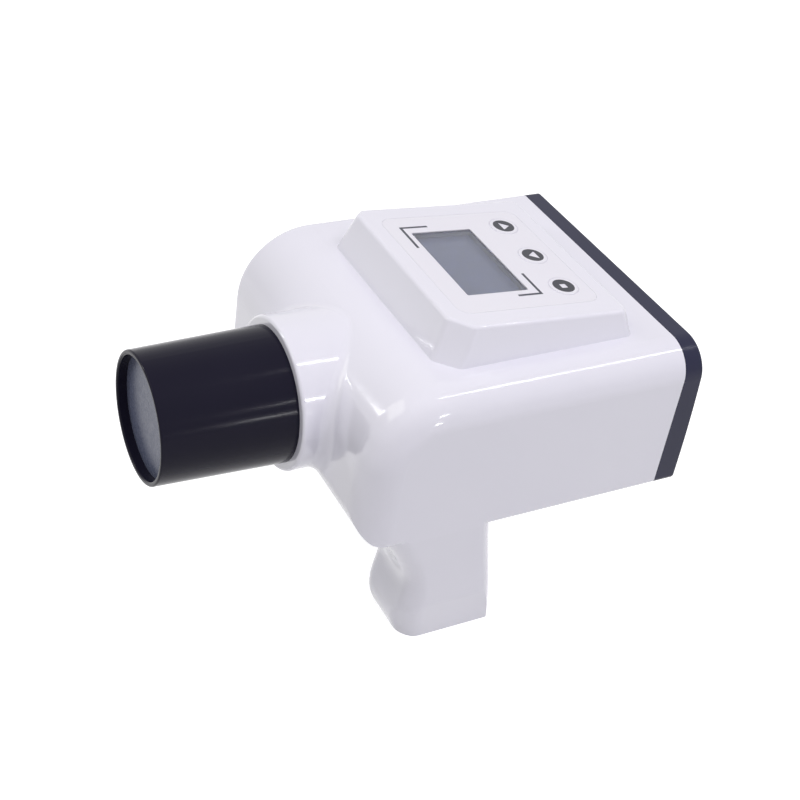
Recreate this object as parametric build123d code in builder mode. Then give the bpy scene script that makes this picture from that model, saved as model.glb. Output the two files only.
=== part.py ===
"""Hand-held dental x-ray unit: a white moulded housing with a dark beam cone in front,
a sloping key panel on top, a battery grip under its left side and a dark rear cover.

Millimetres. +Z is up, the beam leaves along -Y, the grip is on the +X side.
The origin is the middle of the unit's box at the level of the grip's foot.
"""
import math
import os

from build123d import *

os.makedirs("parts", exist_ok=True)

# Clearances
seat_gap = 0.1
slide_gap = 0.4
cut_over = 2.0

# Main housing
body_width = 162.0
body_bottom = 75.5
body_height = 82.5
nose_y = -51.0
parting_y = 119.0
wall = 3.0
rim_radius = 17.0
edge_radius = 3.6
inner_edge = 0.8
nose_top_radius = 38.0
nose_foot_radius = 17.0
half_width = body_width / 2
body_top = body_bottom + body_height
body_center_z = body_bottom + body_height / 2

# Beam axis, collar and cone
axis_height = 116.0
collar_radius = 38.5
collar_length = 14.0
collar_edge = 1.6
collar_blend = 6.0
collar_wall = 3.5
collar_root = 27.0
socket_depth = 8.0
web = 3.0
port_radius = 16.0
cone_length = 67.0
cone_tip_radius = 32.5
cone_base_radius = 34.1
cone_spigot_radius = 32.9
cone_bore = 30.0
cone_edge = 0.9
cone_lip_depth = 5.0
end_plate_thickness = 2.0
end_plate_radius = 30.8
liner_radius = 28.6
liner_wall = 1.2
collar_front_y = nose_y - collar_length
socket_floor_y = collar_front_y + socket_depth
web_rear_y = socket_floor_y + web
cone_tip_y = collar_front_y - cone_length
plate_front_y = cone_tip_y + cone_lip_depth
plate_rear_y = plate_front_y + end_plate_thickness

# Sloping key panel
panel_tilt = 4.3
panel_center_y = 46.5
panel_rise = 16.7
panel_root = 8.0
panel_half_width = 55.0
panel_half_length = 48.75
panel_base_side = 6.0
panel_base_front = 9.45
panel_base_rear = 6.5
panel_near_cut = 10.0
panel_far_cut = 5.0
panel_corner_soft = 4.5
panel_edge = 2.2
panel_plate = 4.0
panel_wall = 3.0
overlay_width = 88.0
overlay_length = 80.0
overlay_corner = 7.0
overlay_thickness = 0.5
display_width = 58.6
display_length = 34.6
display_corner = 1.0
display_v = -11.2
window_margin = 1.8
window_thickness = 1.0
window_corner = 1.4
key_v = 26.6
key_pitch = 29.3
key_radius = 7.5
key_edge = 0.5
key_cap = 1.6
key_proud = 0.3
key_travel = 0.7
key_stem_radius = 2.4
key_catch_radius = 3.6
key_catch = 1.0
key_well_depth = 2.4
key_stem_end = 6.0
sign_half_width = 3.6
sign_height = 5.1
up_sign_base = -1.6
down_sign_base = 2.5
sign_square = 3.6
sign_corner = 0.4
glyph_depth = 0.3
panel_center_z = body_top + panel_rise
panel_base_z = body_top - panel_root
key_spots = [(-key_pitch, key_v), (0, key_v), (key_pitch, key_v)]

# Boards under the panel
lcd_width = 64.0
lcd_length = 40.0
lcd_thickness = 2.2
lcd_bevel = 0.3
display_board_width = 76.0
display_board_length = 46.0
keypad_board_width = 86.0
keypad_board_length = 18.0
board_thickness = 1.6
board_corner = 1.5
switch_side = 6.0
switch_corner = 0.5
switch_height = 3.5
plunger_radius = 1.7
plunger_height = 0.8
board_boss_radius = 2.4
board_boss_edge = 3.0
board_boss_root = 1.0
board_screw_radius = 1.0
board_screw_head = 1.9
board_screw_head_height = 1.3
board_screw_length = 4.6
display_board_top = -(panel_plate + seat_gap + lcd_thickness)
keypad_board_top = -(key_stem_end + key_travel + seat_gap + plunger_height + switch_height)

# Battery grip, drawn as its side outline and its front outline
grip_top_z = body_bottom + 18.5
grip_neck_z = body_bottom - 15.5
grip_front = [(-13.5, 0.0), (-17.4, 20.0), (-16.4, 36.0), (-25.5, grip_neck_z), (-41.0, grip_top_z)]
grip_rear = [(19.5, grip_top_z), (25.5, grip_neck_z), (34.5, 20.0), (37.5, 0.0)]
grip_near_inset = 3.8
grip_far_top = 41.5
grip_far_foot = 49.0
grip_lean = 0.05
grip_front_corner = 10.0
grip_rear_corner = 6.0
facet_top_z = 26.0
facet_foot_inset = 6.6
foot_edge = 1.2
pocket_inset = 24.5
pocket_y = 5.0
pocket_width = 30.0
pocket_depth = 30.0
pocket_corner = 2.0
pocket_rise = 5.5
door_inset = 26.2
door_width = 33.6
door_front_y = -10.5
door_rear_y = 31.5
door_thickness = 3.0
door_corner = 5.0
door_edge = 0.4
door_screw_edge = 5.5
door_screw_spread = 20.0
door_hole_depth = 14.0
foot_step = 0.3
pad_thickness = 2.0
pad_gap = 0.2
cell_thickness = 6.8
cell_height = 56.0
cell_gap = 0.2
cell_side_gap = 0.75
cell_corner = 1.5
cell_count = 4
grip_near_x = half_width - grip_near_inset
grip_far_top_x = half_width - grip_far_top
grip_far_foot_x = half_width - grip_far_foot
facet_foot_x = half_width - facet_foot_inset
pocket_x = half_width - pocket_inset
pocket_top_z = body_bottom + pocket_rise
door_x = half_width - door_inset
door_screw_y = door_rear_y - door_screw_edge
door_screw_spots = [(door_x + side * door_screw_spread / 2, door_screw_y) for side in (-1, 1)]
cell_width = pocket_width - 2 * cell_side_gap
cell_pitch = cell_thickness + cell_gap

# Tube head
head_width = 100.0
head_height = 60.0
head_front_y = -26.0
head_length = 78.0
head_wall = 3.0
head_corner = 6.0
lid_thickness = 3.0
snout_radius = 19.0
snout_bore = 13.0
snout_gap = 1.0
filter_radius = 16.0
filter_thickness = 1.5
collimator_thickness = 4.0
collimator_bore = 11.5
ear_radius = 5.0
ear_front = 6.0
ear_rear = 10.0
ear_hole_depth = 7.0
lid_post_radius = 4.5
lid_post_length = 22.0
tube_back = 38.0
tube_radius = 15.0
tube_half_length = 31.0
tube_corner = 6.0
glass_wall = 1.5
sleeve_radius = 19.0
sleeve_wall = 2.0
sleeve_half_length = 30.0
sleeve_window = 6.0
stem_proud = 6.0
anode_stem = 5.0
anode_radius = 8.0
anode_length = 24.0
anode_face = 3.5
anode_slope = 10.0
cathode_stem = 4.0
cathode_radius = 6.0
cathode_start = 9.0
cathode_length = 8.0
cathode_cup = 3.0
cathode_cup_radius = 4.0
tube_ring_width = 6.0
tube_ring_starts = (-24.0, 18.0)
cradle_width = 6.0
cradle_starts = (-28.0, 22.0)
cradle_side = 1.0
block_width = 74.0
block_gap = 3.0
block_corner = 3.0
head_half_width = head_width / 2
head_rear_y = head_front_y + head_length
head_bottom_z = axis_height - head_height / 2
head_top_z = axis_height + head_height / 2
snout_front_y = web_rear_y + snout_gap
ear_x = head_half_width + ear_radius
ear_front_y = head_front_y + ear_front
ear_rear_y = head_rear_y - ear_rear
tube_y = head_front_y + tube_back
block_front_y = tube_y + sleeve_radius + block_gap

# Screws
screw_radius = 1.5
screw_head_radius = 2.8
screw_head_height = 2.0
cover_screw_length = 16.0
ear_screw_length = 8.5
door_screw_length = 10.0
door_screw_seat_z = 1.9
door_screw_head_height = 1.3
control_screw_length = 6.0

# Control board behind the tube head
spacer_length = 25.0
spacer_edge = 6.5
spacer_radius = 3.0
spacer_hole_depth = 8.0
stud_length = 12.0
stud_gap = 0.5
control_board_width = 110.0
control_board_height = 58.0
control_board_corner = 2.0
capacitor_radius = 8.0
capacitor_length = 22.0
capacitor_edge = 1.0
capacitor_pitch = 20.0
capacitor_row = (-4.0, -12.0)
buzzer_radius = 6.5
buzzer_height = 7.0
buzzer_edge = 0.6
buzzer_hole = 1.0
buzzer_hole_depth = 1.5
buzzer_spot = (30.0, 14.0)
control_board_y = head_rear_y + lid_thickness + spacer_length
spacer_x = head_half_width - spacer_edge
spacer_z = head_height / 2 - spacer_edge

# Rear cover
cover_depth = 13.0
cover_bow = 445.0
cover_bow_rise = 12.5
cover_edge = 3.2
cover_side_wall = 6.0
cover_back_wall = 3.0
tongue_length = 4.0
tongue_thickness = 2.0
tongue_gap = 0.2
tongue_share = 0.6
side_tongue_share = 0.4
boss_radius = 5.0
boss_bite = 0.6
boss_length = 22.0
boss_hole_depth = 16.0
pillar_side = 0.5
pillar_high = 2.5
pillar_low = 7.0
cover_screw_sink = 3.5
fitting_rise = 15.0
switch_seat_margin = 3.5
socket_seat_margin = 4.0
fitting_corner = 2.0
cover_rear_y = parting_y + cover_depth
cover_bow_z = body_bottom + cover_bow_rise
cover_inner_y = cover_rear_y - cover_back_wall
cover_screw_seat_y = parting_y + cover_screw_sink
fitting_z = body_bottom + fitting_rise
boss_inset = wall + boss_radius - boss_bite
near_boss_inset = rim_radius - (rim_radius - wall + boss_bite - boss_radius) / math.sqrt(2)
boss_x = half_width - boss_inset
boss_low_z = body_bottom + boss_inset
corner_bosses = [
    (-boss_x, boss_low_z),
    (-boss_x, body_top - boss_inset),
    (boss_x, boss_low_z),
    (half_width - near_boss_inset, body_top - near_boss_inset),
]

# Power switch and charging socket in the rear cover
switch_x = -42.0
switch_sink = 4.2
switch_flange_width = 21.5
switch_flange_height = 15.5
switch_flange_corner = 1.2
switch_flange_edge = 0.6
switch_flange = 2.0
switch_body_width = 18.8
switch_body_height = 12.8
switch_body_depth = 14.8
switch_pocket_width = 16.6
switch_pocket_height = 10.6
switch_pocket_depth = 8.8
rocker_pivot_sink = 0.2
rocker_radius = 7.9
rocker_height = 10.0
rocker_tilt = 8.0
rocker_middle = 1.5
rocker_base = 1.5
rocker_pin_radius = 1.2
rocker_pin_gap = 0.3
rocker_pin_end = 0.4
terminal_spread = 8.0
terminal_width = 4.8
terminal_thickness = 0.8
terminal_length = 7.0
socket_x = 42.0
socket_sink = 2.5
socket_flange_radius = 7.0
socket_flange = 1.2
socket_flange_edge = 0.4
socket_radius = 5.5
socket_bore = 2.85
socket_bore_depth = 9.5
socket_length = 12.5
contact_pin_radius = 1.0
contact_pin_edge = 0.5
contact_pin_end = 1.0
switch_seat_y = cover_rear_y - switch_sink
switch_body_y = switch_seat_y - switch_body_depth
switch_pocket_y = switch_seat_y - switch_pocket_depth
rocker_pivot_y = switch_seat_y - rocker_pivot_sink
socket_seat_y = cover_rear_y - socket_sink
socket_face_y = socket_seat_y + socket_flange
socket_back_y = socket_seat_y - socket_length

panel_top = Plane(
    origin=(0, panel_center_y, panel_center_z),
    x_dir=(1, 0, 0),
    z_dir=(0, math.sin(math.radians(panel_tilt)), math.cos(math.radians(panel_tilt))),
)


def beam_at(y):
    """Plane square to the beam axis at the given Y, facing the rear."""
    return Plane(origin=(0, y, axis_height), x_dir=(1, 0, 0), z_dir=(0, 1, 0))


def wall_at(y):
    """Plane facing the rear at the given Y, level with the housing's middle."""
    return Plane(origin=(0, y, body_center_z), x_dir=(-1, 0, 0), z_dir=(0, 1, 0))


def on_collar(edge):
    """True for an edge that runs around the collar's root on the nose."""
    middle = edge.position_at(0.4)
    spread = math.hypot(middle.X, middle.Z - axis_height)
    around = edge.bounding_box().size.X > 1.0
    return abs(spread - collar_radius) < 0.01 and middle.Y > collar_front_y + 1.0 and around


def crisp_block(inset, rear_y, edge):
    """Round-nosed block drawn in side view, with the same small radius on all its rims."""
    front = nose_y + inset
    low = body_bottom + inset
    high = body_top - inset
    top_radius = nose_top_radius - inset
    foot_radius = nose_foot_radius - inset
    with BuildPart() as block:
        with BuildSketch(Plane.YZ):
            with BuildLine():
                Polyline((front + top_radius, high), (rear_y, high), (rear_y, low),
                         (front + foot_radius, low))
                CenterArc((front + foot_radius, low + foot_radius), foot_radius, 180, 90)
                Line((front, low + foot_radius), (front, high - top_radius))
                CenterArc((front + top_radius, high - top_radius), top_radius, 90, 90)
            make_face()
        extrude(amount=half_width - inset, both=True)
        rims = block.faces().filter_by(Axis.X).edges().filter_by(lambda rim: rim.center().Y < rear_y - 0.01)
        fillet(rims, radius=edge)
    return block.part


def shoulder_block(inset, rear_y):
    """Block open below the body whose near rim is broadly rounded along the top and down the nose."""
    front = nose_y + inset
    high = body_top - inset
    top_radius = nose_top_radius - inset
    with BuildPart() as block:
        with BuildSketch(Plane.YZ.offset(-body_width)):
            with BuildLine():
                Polyline((front, high - top_radius), (front, -body_height), (rear_y, -body_height),
                         (rear_y, high), (front + top_radius, high))
                CenterArc((front + top_radius, high - top_radius), top_radius, 90, 90)
            make_face()
        extrude(amount=body_width + half_width - inset)
        near_side = block.faces().sort_by(Axis.X)[-1]
        shoulder = near_side.edges().sort_by(lambda rim: rim.center().Z)[-1:]
        fillet(shoulder, radius=rim_radius - inset)
    return block.part


def nose_block(inset, rear_y, edge):
    """Body block: its near shoulder broadly rounded, its other rims small."""
    with BuildPart() as block:
        add(crisp_block(inset, rear_y, edge))
        add(shoulder_block(inset, rear_y), mode=Mode.INTERSECT)
    return block.part


def panel_outline(plane, half, front, rear):
    """Panel outline with cut and softened front corners, drawn on the given plane."""
    with BuildSketch(plane) as outline:
        with BuildLine():
            Polyline(
                (-half + panel_far_cut, front),
                (half - panel_near_cut, front),
                (half, front + panel_near_cut),
                (half, rear),
                (-half, rear),
                (-half, front + panel_far_cut),
                close=True,
            )
        make_face()
        fillet(outline.vertices(), radius=panel_corner_soft)
    return outline.sketch


def panel_block(inset, drop):
    """Raised panel from inside the body up to the sloping top, its sides inset."""
    base = Plane(origin=(0, panel_center_y, panel_base_z), x_dir=(1, 0, 0), z_dir=(0, 0, 1))
    with BuildPart() as block:
        add(panel_outline(panel_top.offset(-drop), panel_half_width - inset,
                          inset - panel_half_length, panel_half_length - inset))
        add(panel_outline(base, panel_half_width + panel_base_side - inset,
                          inset - panel_half_length - panel_base_front,
                          panel_half_length + panel_base_rear - inset))
        loft(ruled=True)
    return block.part


def grip_near(height):
    """X of the grip's near face, which leans out to meet the body's side wall."""
    return grip_near_x + grip_lean * height


def is_upright(edge):
    """True for an edge that runs up most of the grip."""
    return edge.bounding_box().size.Z > grip_top_z / 2


def grip_block():
    """Grip column, its near face flat and level with the body's side."""
    with BuildPart() as grip:
        with BuildSketch(Plane.YZ):
            with BuildLine():
                Spline(*grip_front)
                Polyline(grip_front[-1], grip_rear[0])
                Spline(*grip_rear)
                Polyline(grip_rear[-1], grip_front[0])
            make_face()
        extrude(amount=body_width)
        with BuildSketch(Plane.XZ):
            with BuildLine():
                Polyline((grip_far_foot_x, 0), (grip_near(0), 0), (grip_near(grip_top_z), grip_top_z),
                         (grip_far_top_x, grip_top_z), close=True)
            make_face()
        extrude(amount=body_width, both=True, mode=Mode.INTERSECT)
        fillet(grip.edges().filter_by(is_upright).sort_by(Axis.Y)[:2], radius=grip_front_corner)
        fillet(grip.edges().filter_by(is_upright).sort_by(Axis.Y)[-2:], radius=grip_rear_corner)
        with BuildSketch(Plane.XZ):
            with BuildLine():
                Polyline((grip_near(facet_top_z), facet_top_z), (body_width, facet_top_z),
                         (body_width, -cut_over),
                         (facet_foot_x - cut_over * (grip_near(facet_top_z) - facet_foot_x) / facet_top_z,
                          -cut_over), close=True)
            make_face()
        extrude(amount=half_width, both=True, mode=Mode.SUBTRACT)
        fillet(grip.faces().sort_by(Axis.Z)[0].edges(), radius=foot_edge)
        with Locations((half_width, 0, 0)):
            Box(body_width, body_width, 2 * body_width,
                align=(Align.MIN, Align.CENTER, Align.CENTER), mode=Mode.SUBTRACT)
    return grip.part


def pan_screw(plane, radius, head_radius, head_height, length):
    """Pan-head screw whose head sits on the plane and whose shank runs below it."""
    with BuildPart() as screw:
        with BuildSketch(plane):
            Circle(radius)
        extrude(amount=-length)
        with BuildSketch(plane):
            Circle(head_radius)
        extrude(amount=head_height)
        head_top = screw.faces().sort_by(Axis(plane.origin, plane.z_dir))[-1]
        fillet(head_top.edges(), radius=head_height * 0.35)
        with BuildSketch(plane.offset(head_height)):
            RectangleRounded(head_radius * 1.1, head_radius * 0.3, head_radius * 0.1)
            RectangleRounded(head_radius * 0.3, head_radius * 1.1, head_radius * 0.1)
        extrude(amount=-head_height * 0.6, mode=Mode.SUBTRACT)
    return screw.part


def corner_spots(center_v, width, length):
    """Four screw spots near the corners of a board that is centred on the panel's middle line."""
    u = width / 2 - board_boss_edge
    v = length / 2 - board_boss_edge
    return [(-u, center_v - v), (-u, center_v + v), (u, center_v - v), (u, center_v + v)]


ear_spots = [(side * ear_x, y) for side in (-1, 1) for y in (ear_front_y, ear_rear_y)]
display_spots = corner_spots(display_v, display_board_width, display_board_length)
keypad_spots = corner_spots(key_v, keypad_board_width, keypad_board_length)

# Front housing: outer form
with BuildPart() as front_housing:
    add(nose_block(0, parting_y, edge_radius))
    with BuildSketch(beam_at(collar_front_y)):
        Circle(collar_radius)
    extrude(amount=collar_length + collar_root)
    collar_seam = front_housing.edges().filter_by(on_collar)
    fillet(collar_seam, radius=collar_blend)
    collar_rim = front_housing.faces().sort_by(Axis.Y)[0].edges()
    fillet(collar_rim, radius=collar_edge)
    add(grip_block())
    add(panel_block(0, 0))
    top_face = front_housing.faces().sort_by(Axis.Z)[-1]
    fillet(top_face.edges(), radius=panel_edge)

    # Hollow inside, with the panel's room and the battery pocket
    add(nose_block(wall, parting_y + cut_over, inner_edge), mode=Mode.SUBTRACT)
    add(panel_block(panel_wall, panel_plate), mode=Mode.SUBTRACT)
    with BuildSketch(Plane.XY):
        with Locations((pocket_x, pocket_y)):
            RectangleRounded(pocket_width, pocket_depth, pocket_corner)
    extrude(amount=pocket_top_z, mode=Mode.SUBTRACT)
    with BuildSketch(beam_at(web_rear_y)):
        Circle(collar_radius - collar_wall)
    extrude(amount=collar_root + wall, mode=Mode.SUBTRACT)

    # Socket for the cone and the beam port behind it
    with BuildSketch(beam_at(collar_front_y)):
        Circle(cone_spigot_radius + seat_gap)
    extrude(amount=socket_floor_y - collar_front_y, mode=Mode.SUBTRACT)
    with BuildSketch(beam_at(socket_floor_y - cut_over)):
        Circle(port_radius)
    extrude(amount=web_rear_y - socket_floor_y + 2 * cut_over, mode=Mode.SUBTRACT)

    # Door recess and its screw holes
    with BuildSketch(Plane.XY):
        with Locations((door_x, (door_front_y + door_rear_y) / 2)):
            RectangleRounded(door_width + 2 * slide_gap, door_rear_y - door_front_y + 2 * slide_gap,
                             door_corner)
    extrude(amount=door_thickness + seat_gap, mode=Mode.SUBTRACT)
    with BuildSketch(Plane.XY):
        with Locations(*door_screw_spots):
            Circle(screw_radius + seat_gap)
    extrude(amount=door_hole_depth, mode=Mode.SUBTRACT)

    # Corner bosses for the rear cover
    for x, z in corner_bosses:
        with BuildSketch(Plane(origin=(x, parting_y, z), x_dir=(1, 0, 0), z_dir=(0, -1, 0))):
            Circle(boss_radius)
        extrude(amount=boss_length)
    for x, z in corner_bosses:
        with BuildSketch(Plane(origin=(x, parting_y, z), x_dir=(1, 0, 0), z_dir=(0, -1, 0))):
            Circle(screw_radius + seat_gap)
        extrude(amount=boss_hole_depth, mode=Mode.SUBTRACT)

    # Bosses under the tube head's ears
    with BuildSketch(Plane.XY.offset(body_bottom + wall / 2)):
        with Locations(*ear_spots):
            Circle(ear_radius)
    extrude(amount=head_bottom_z - body_bottom - wall / 2)
    with BuildSketch(Plane.XY.offset(head_bottom_z)):
        with Locations(*ear_spots):
            Circle(screw_radius + seat_gap)
    extrude(amount=-ear_hole_depth, mode=Mode.SUBTRACT)

    # Overlay seat, window seat, display opening and key wells
    with BuildSketch(panel_top):
        RectangleRounded(overlay_width + 2 * seat_gap, overlay_length + 2 * seat_gap, overlay_corner)
    extrude(amount=-overlay_thickness, mode=Mode.SUBTRACT)
    with BuildSketch(panel_top):
        with Locations((0, display_v)):
            RectangleRounded(display_width + 2 * window_margin + 2 * seat_gap,
                             display_length + 2 * window_margin + 2 * seat_gap, window_corner)
    extrude(amount=-overlay_thickness - window_thickness, mode=Mode.SUBTRACT)
    with BuildSketch(panel_top):
        with Locations((0, display_v)):
            Rectangle(display_width, display_length)
    extrude(amount=-panel_plate - cut_over, mode=Mode.SUBTRACT)
    with BuildSketch(panel_top):
        with Locations(*key_spots):
            Circle(key_radius + slide_gap)
    extrude(amount=-key_well_depth, mode=Mode.SUBTRACT)
    with BuildSketch(panel_top):
        with Locations(*key_spots):
            Circle(key_stem_radius + slide_gap)
    extrude(amount=-panel_plate - cut_over, mode=Mode.SUBTRACT)

    # Bosses that hold the display board and the keypad board
    with BuildSketch(panel_top.offset(display_board_top)):
        with Locations(*display_spots):
            Circle(board_boss_radius)
    extrude(amount=-display_board_top - panel_plate + board_boss_root)
    with BuildSketch(panel_top.offset(keypad_board_top)):
        with Locations(*keypad_spots):
            Circle(board_boss_radius)
    extrude(amount=-keypad_board_top - panel_plate + board_boss_root)
    with BuildSketch(panel_top.offset(display_board_top)):
        with Locations(*display_spots):
            Circle(board_screw_radius + seat_gap)
    extrude(amount=board_screw_length - board_thickness + slide_gap, mode=Mode.SUBTRACT)
    with BuildSketch(panel_top.offset(keypad_board_top)):
        with Locations(*keypad_spots):
            Circle(board_screw_radius + seat_gap)
    extrude(amount=board_screw_length - board_thickness + slide_gap, mode=Mode.SUBTRACT)
front_housing.part.label = "front_housing"
export_step(front_housing.part, "parts/front_housing.step")


def cover_block(side_wall, back_wall, front_y, edge):
    """Rear cover's outline with its gently bowed back, inset by the two walls."""
    with BuildPart() as block:
        with BuildSketch(wall_at(front_y)) as outline:
            Rectangle(body_width - 2 * side_wall, body_height - 2 * side_wall)
            corners = outline.vertices().sort_by(lambda spot: spot.Y - spot.X)
            fillet(corners[:-1], radius=edge)
            shoulder = outline.vertices().sort_by(lambda spot: spot.Y - spot.X)[-1:]
            fillet(shoulder, radius=rim_radius - side_wall)
        extrude(amount=cover_rear_y + cut_over - front_y)
        with BuildSketch(Plane.YZ):
            with Locations((cover_rear_y - back_wall - cover_bow, cover_bow_z)):
                Circle(cover_bow)
        extrude(amount=body_width, both=True, mode=Mode.INTERSECT)
    return block.part


# Rear cover with its tongues, screw pillars and the seats of the two fittings
with BuildPart() as rear_cover:
    add(cover_block(0, 0, parting_y, edge_radius))
    fillet(rear_cover.faces().sort_by(Axis.Y)[-1].edges(), radius=cover_edge)
    add(cover_block(cover_side_wall, cover_back_wall, parting_y - cut_over, inner_edge), mode=Mode.SUBTRACT)
    for x, z in corner_bosses:
        pillar = cover_screw_seat_y - parting_y + (pillar_high if z > body_center_z else pillar_low)
        with BuildSketch(Plane(origin=(x, parting_y, z), x_dir=(1, 0, 0), z_dir=(0, 1, 0))):
            Circle(boss_radius + pillar_side)
        extrude(amount=pillar)
    with BuildSketch(wall_at(parting_y)):
        with GridLocations(0, body_height - 2 * wall - 2 * tongue_gap - tongue_thickness, 1, 2):
            Rectangle(body_width * tongue_share, tongue_thickness)
        with GridLocations(body_width - 2 * wall - 2 * tongue_gap - tongue_thickness, 0, 2, 1):
            Rectangle(tongue_thickness, body_height * side_tongue_share)
    extrude(amount=-tongue_length)
    with BuildSketch(Plane(origin=(switch_x, cover_inner_y, fitting_z), x_dir=(1, 0, 0), z_dir=(0, -1, 0))):
        RectangleRounded(switch_flange_width + 2 * switch_seat_margin,
                         switch_flange_height + 2 * switch_seat_margin, fitting_corner)
    extrude(amount=switch_sink)
    with BuildSketch(Plane(origin=(socket_x, cover_inner_y, fitting_z), x_dir=(1, 0, 0), z_dir=(0, -1, 0))):
        Circle(socket_flange_radius + socket_seat_margin)
    extrude(amount=cover_back_wall)
    with BuildSketch(Plane(origin=(switch_x, switch_seat_y, fitting_z), x_dir=(1, 0, 0), z_dir=(0, 1, 0))):
        RectangleRounded(switch_flange_width + 2 * slide_gap, switch_flange_height + 2 * slide_gap,
                         switch_flange_corner)
    extrude(amount=cover_rear_y, mode=Mode.SUBTRACT)
    with BuildSketch(Plane(origin=(switch_x, parting_y, fitting_z), x_dir=(1, 0, 0), z_dir=(0, 1, 0))):
        Rectangle(switch_body_width + 2 * seat_gap, switch_body_height + 2 * seat_gap)
    extrude(amount=cover_rear_y, mode=Mode.SUBTRACT)
    with BuildSketch(Plane(origin=(socket_x, socket_seat_y, fitting_z), x_dir=(1, 0, 0), z_dir=(0, 1, 0))):
        Circle(socket_flange_radius + slide_gap)
    extrude(amount=cover_rear_y, mode=Mode.SUBTRACT)
    with BuildSketch(Plane(origin=(socket_x, parting_y, fitting_z), x_dir=(1, 0, 0), z_dir=(0, 1, 0))):
        Circle(socket_radius + seat_gap)
    extrude(amount=cover_rear_y, mode=Mode.SUBTRACT)
    for x, z in corner_bosses:
        with BuildSketch(Plane(origin=(x, parting_y - cut_over, z), x_dir=(1, 0, 0), z_dir=(0, 1, 0))):
            Circle(screw_radius + 2 * seat_gap)
        extrude(amount=cover_rear_y, mode=Mode.SUBTRACT)
        with BuildSketch(Plane(origin=(x, cover_screw_seat_y, z), x_dir=(1, 0, 0), z_dir=(0, 1, 0))):
            Circle(screw_head_radius + slide_gap)
        extrude(amount=cover_rear_y, mode=Mode.SUBTRACT)
rear_cover.part.label = "rear_cover"
export_step(rear_cover.part, "parts/rear_cover.step")

# Rear cover screws, sunk in the pillars
with BuildPart() as cover_screws:
    for x, z in corner_bosses:
        seat = Plane(origin=(x, cover_screw_seat_y, z), x_dir=(1, 0, 0), z_dir=(0, 1, 0))
        add(pan_screw(seat, screw_radius, screw_head_radius, screw_head_height, cover_screw_length))
cover_screws.part.label = "cover_screws"
export_step(cover_screws.part, "parts/cover_screws.step")

# Power switch body with its rocker pocket
with BuildPart() as switch_body:
    with BuildSketch(Plane(origin=(switch_x, switch_seat_y, fitting_z), x_dir=(1, 0, 0), z_dir=(0, 1, 0))):
        RectangleRounded(switch_flange_width, switch_flange_height, switch_flange_corner)
    extrude(amount=switch_flange)
    fillet(switch_body.faces().sort_by(Axis.Y)[-1].edges(), radius=switch_flange_edge)
    with BuildSketch(Plane(origin=(switch_x, switch_seat_y, fitting_z), x_dir=(1, 0, 0), z_dir=(0, -1, 0))):
        Rectangle(switch_body_width, switch_body_height)
    extrude(amount=switch_body_depth)
    with BuildSketch(Plane(origin=(switch_x, switch_pocket_y, fitting_z),
                           x_dir=(1, 0, 0), z_dir=(0, 1, 0))):
        Rectangle(switch_pocket_width, switch_pocket_height)
    extrude(amount=cover_rear_y - switch_pocket_y, mode=Mode.SUBTRACT)
    with BuildSketch(Plane.XY.offset(fitting_z)):
        with Locations((switch_x, rocker_pivot_y - rocker_pin_gap)):
            Circle(rocker_pin_radius + rocker_pin_gap)
    extrude(amount=switch_body_height / 2 - rocker_pin_gap, both=True, mode=Mode.SUBTRACT)
switch_body.part.label = "switch_body"
export_step(switch_body.part, "parts/switch_body.step")

# Rocker of the power switch, drawn level and then turned to its off side
rocker_reach = 2 * rocker_radius
rocker_end_height = rocker_middle + rocker_reach * math.tan(math.radians(rocker_tilt))
with BuildPart() as level_rocker:
    with BuildSketch(Plane.XY):
        Circle(rocker_radius)
        with BuildLine():
            Polyline((-rocker_reach, rocker_reach), (-rocker_reach, rocker_end_height), (0, rocker_middle),
                     (rocker_reach, rocker_end_height), (rocker_reach, rocker_reach), close=True)
        make_face(mode=Mode.SUBTRACT)
        with Locations((0, -rocker_pin_radius - rocker_base)):
            Rectangle(2 * rocker_reach, rocker_reach, align=(Align.CENTER, Align.MAX), mode=Mode.SUBTRACT)
    extrude(amount=rocker_height / 2, both=True)
    with BuildSketch(Plane.XY):
        Circle(rocker_pin_radius)
    extrude(amount=switch_body_height / 2 - rocker_pin_end, both=True)
power_rocker = Pos(switch_x, rocker_pivot_y, fitting_z) * Rot(0, 0, -rocker_tilt) * level_rocker.part
power_rocker.label = "power_rocker"
export_step(power_rocker, "parts/power_rocker.step")

# Two blade terminals on the back of the power switch
with BuildPart() as switch_terminals:
    with BuildSketch(Plane(origin=(switch_x, switch_body_y, fitting_z), x_dir=(1, 0, 0), z_dir=(0, -1, 0))):
        with GridLocations(terminal_spread, 0, 2, 1):
            Rectangle(terminal_thickness, terminal_width)
    extrude(amount=terminal_length)
switch_terminals.part.label = "switch_terminals"
export_step(switch_terminals.part, "parts/switch_terminals.step")

# Charging socket and its centre contact
with BuildPart() as charge_socket:
    with BuildSketch(Plane(origin=(socket_x, socket_seat_y, fitting_z), x_dir=(1, 0, 0), z_dir=(0, 1, 0))):
        Circle(socket_flange_radius)
    extrude(amount=socket_flange)
    fillet(charge_socket.faces().sort_by(Axis.Y)[-1].edges(), radius=socket_flange_edge)
    with BuildSketch(Plane(origin=(socket_x, socket_seat_y, fitting_z), x_dir=(1, 0, 0), z_dir=(0, -1, 0))):
        Circle(socket_radius)
    extrude(amount=socket_length)
    with BuildSketch(Plane(origin=(socket_x, socket_face_y, fitting_z), x_dir=(1, 0, 0), z_dir=(0, -1, 0))):
        Circle(socket_bore)
    extrude(amount=socket_bore_depth, mode=Mode.SUBTRACT)
charge_socket.part.label = "charge_socket"
export_step(charge_socket.part, "parts/charge_socket.step")

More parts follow.
